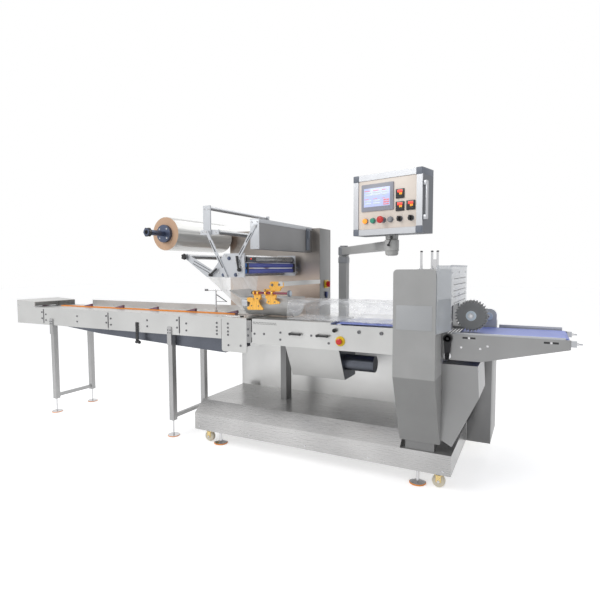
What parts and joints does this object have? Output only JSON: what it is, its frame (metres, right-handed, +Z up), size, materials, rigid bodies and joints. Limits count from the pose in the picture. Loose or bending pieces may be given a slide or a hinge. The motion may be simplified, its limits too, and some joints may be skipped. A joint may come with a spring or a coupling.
{
  "type": "horizontal flow wrapper",
  "caption": "Packing line machine that folds film round products on a conveyor, seals it crosswise between turning jaws and sends the packs out on a short belt.",
  "frame": {"origin": "on the floor, under the middle of the bounding box", "axes": "+X the way the product travels, -Y the operator's side, +Z up"},
  "size_m": [4.425, 1.242, 1.777],
  "materials": {
    "aluminium": "anodised",
    "black_plastic": "gloss",
    "black_rubber": "matt",
    "blue_belt": "smooth",
    "blue_rubber": "smooth",
    "brass": "passivated",
    "clear_sheet": "clear",
    "dark_metal": "satin",
    "dark_red": "gloss",
    "film": "clear film",
    "film_roll": "wound clear film",
    "gold": "gold anodised",
    "grey_paint": "matt",
    "grey_plastic": "matt",
    "jaw_steel": "blued",
    "orange_plastic": "matt",
    "polished": "polished",
    "red_plastic": "gloss",
    "stainless": "satin",
    "stainless_dark": "satin",
    "yellow_plastic": "matt"
  },
  "bodies": {
    "machine": {"base_plinth": "stainless", "castors": "brass", "rear_cabinet": "stainless", "film_wall": "stainless", "switch_plate": "yellow_plastic", "infeed_sides": "stainless", "line_deck": "stainless", "chain_rails": "orange_plastic", "pusher_chain": "dark_metal", "tail_cover": "stainless", "belly_pan": "stainless", "infeed_legs": "stainless", "levelling_feet": "polished", "product_rail": "stainless", "width_adjuster": "dark_metal", "bed_sides": "stainless", "cross_bars": "stainless_dark", "seal_box": "stainless", "emergency_stop": "red_plastic", "line_handles": "black_plastic", "tower_cover": "grey_paint", "tower_rear": "grey_paint", "support_posts": "stainless_dark", "tower_rods": "polished", "clear_guard": "clear_sheet", "drive_guard": "stainless", "discharge_sides": "stainless", "conveyor_belts": "blue_belt", "tension_blocks": "aluminium", "drive_strap": "black_rubber", "line_rollers": "polished", "press_carrier": "aluminium", "film_plates": "aluminium", "guide_rollers": "polished", "nip_rollers": "blue_rubber", "film_hood": "stainless_dark", "film_frame": "aluminium", "roll_bearing": "aluminium", "former_arm": "stainless", "former_trough": "stainless", "former_brackets": "gold", "former_spindle": "dark_red", "wrapping_film": "film", "panel_mast": "grey_paint"},
    "film_spindle": {"film_roll": "film_roll", "film_shaft": "dark_metal"},
    "panel_boom": {"panel_arm": "grey_paint"},
    "panel": {"panel_box": "stainless", "panel_frame": "aluminium", "panel_controls": "black_plastic", "panel_handle": "black_plastic"},
    "switch": {"switch_handle": "red_plastic"},
    "press": {"press_wheel": "grey_plastic"},
    "jaw_high": {"upper_jaw": "jaw_steel"},
    "jaw_low": {"lower_jaw": "jaw_steel"}
  },
  "joints": [
    {"name": "film_roll_spin", "type": "hinge", "parent": "machine", "child": "film_spindle", "pos_m": [-0.3625, -0.17, 1.5], "axis": [0, 1, 0], "continuous": true},
    {"name": "panel_boom_swivel", "type": "hinge", "parent": "machine", "child": "panel_boom", "pos_m": [0.7055, 0.304, 1.378], "axis": [0, 0, 1], "range_deg": [-25, 50]},
    {"name": "panel_swivel", "type": "hinge", "parent": "panel_boom", "child": "panel", "pos_m": [1.2675, -0.386, 1.378], "axis": [0, 0, 1], "range_deg": [-75, 75]},
    {"name": "main_switch_turn", "type": "hinge", "parent": "machine", "child": "switch", "pos_m": [0.5275, 0.374, 1.127], "axis": [1, 0, 0], "range_deg": [0, 90]},
    {"name": "press_wheel_spin", "type": "hinge", "parent": "machine", "child": "press", "pos_m": [1.6935, -0.17, 0.991], "axis": [0, 1, 0], "continuous": true},
    {"name": "upper_jaw_spin", "type": "hinge", "parent": "machine", "child": "jaw_high", "pos_m": [1.4385, -0.17, 1.037], "axis": [0, 1, 0], "continuous": true},
    {"name": "lower_jaw_spin", "type": "hinge", "parent": "machine", "child": "jaw_low", "pos_m": [1.4385, -0.17, 0.847], "axis": [0, 1, 0], "continuous": true}
  ],
  "couplings": [
    {"joint": "lower_jaw_spin", "follows": "upper_jaw_spin", "ratio": -1}
  ]
}
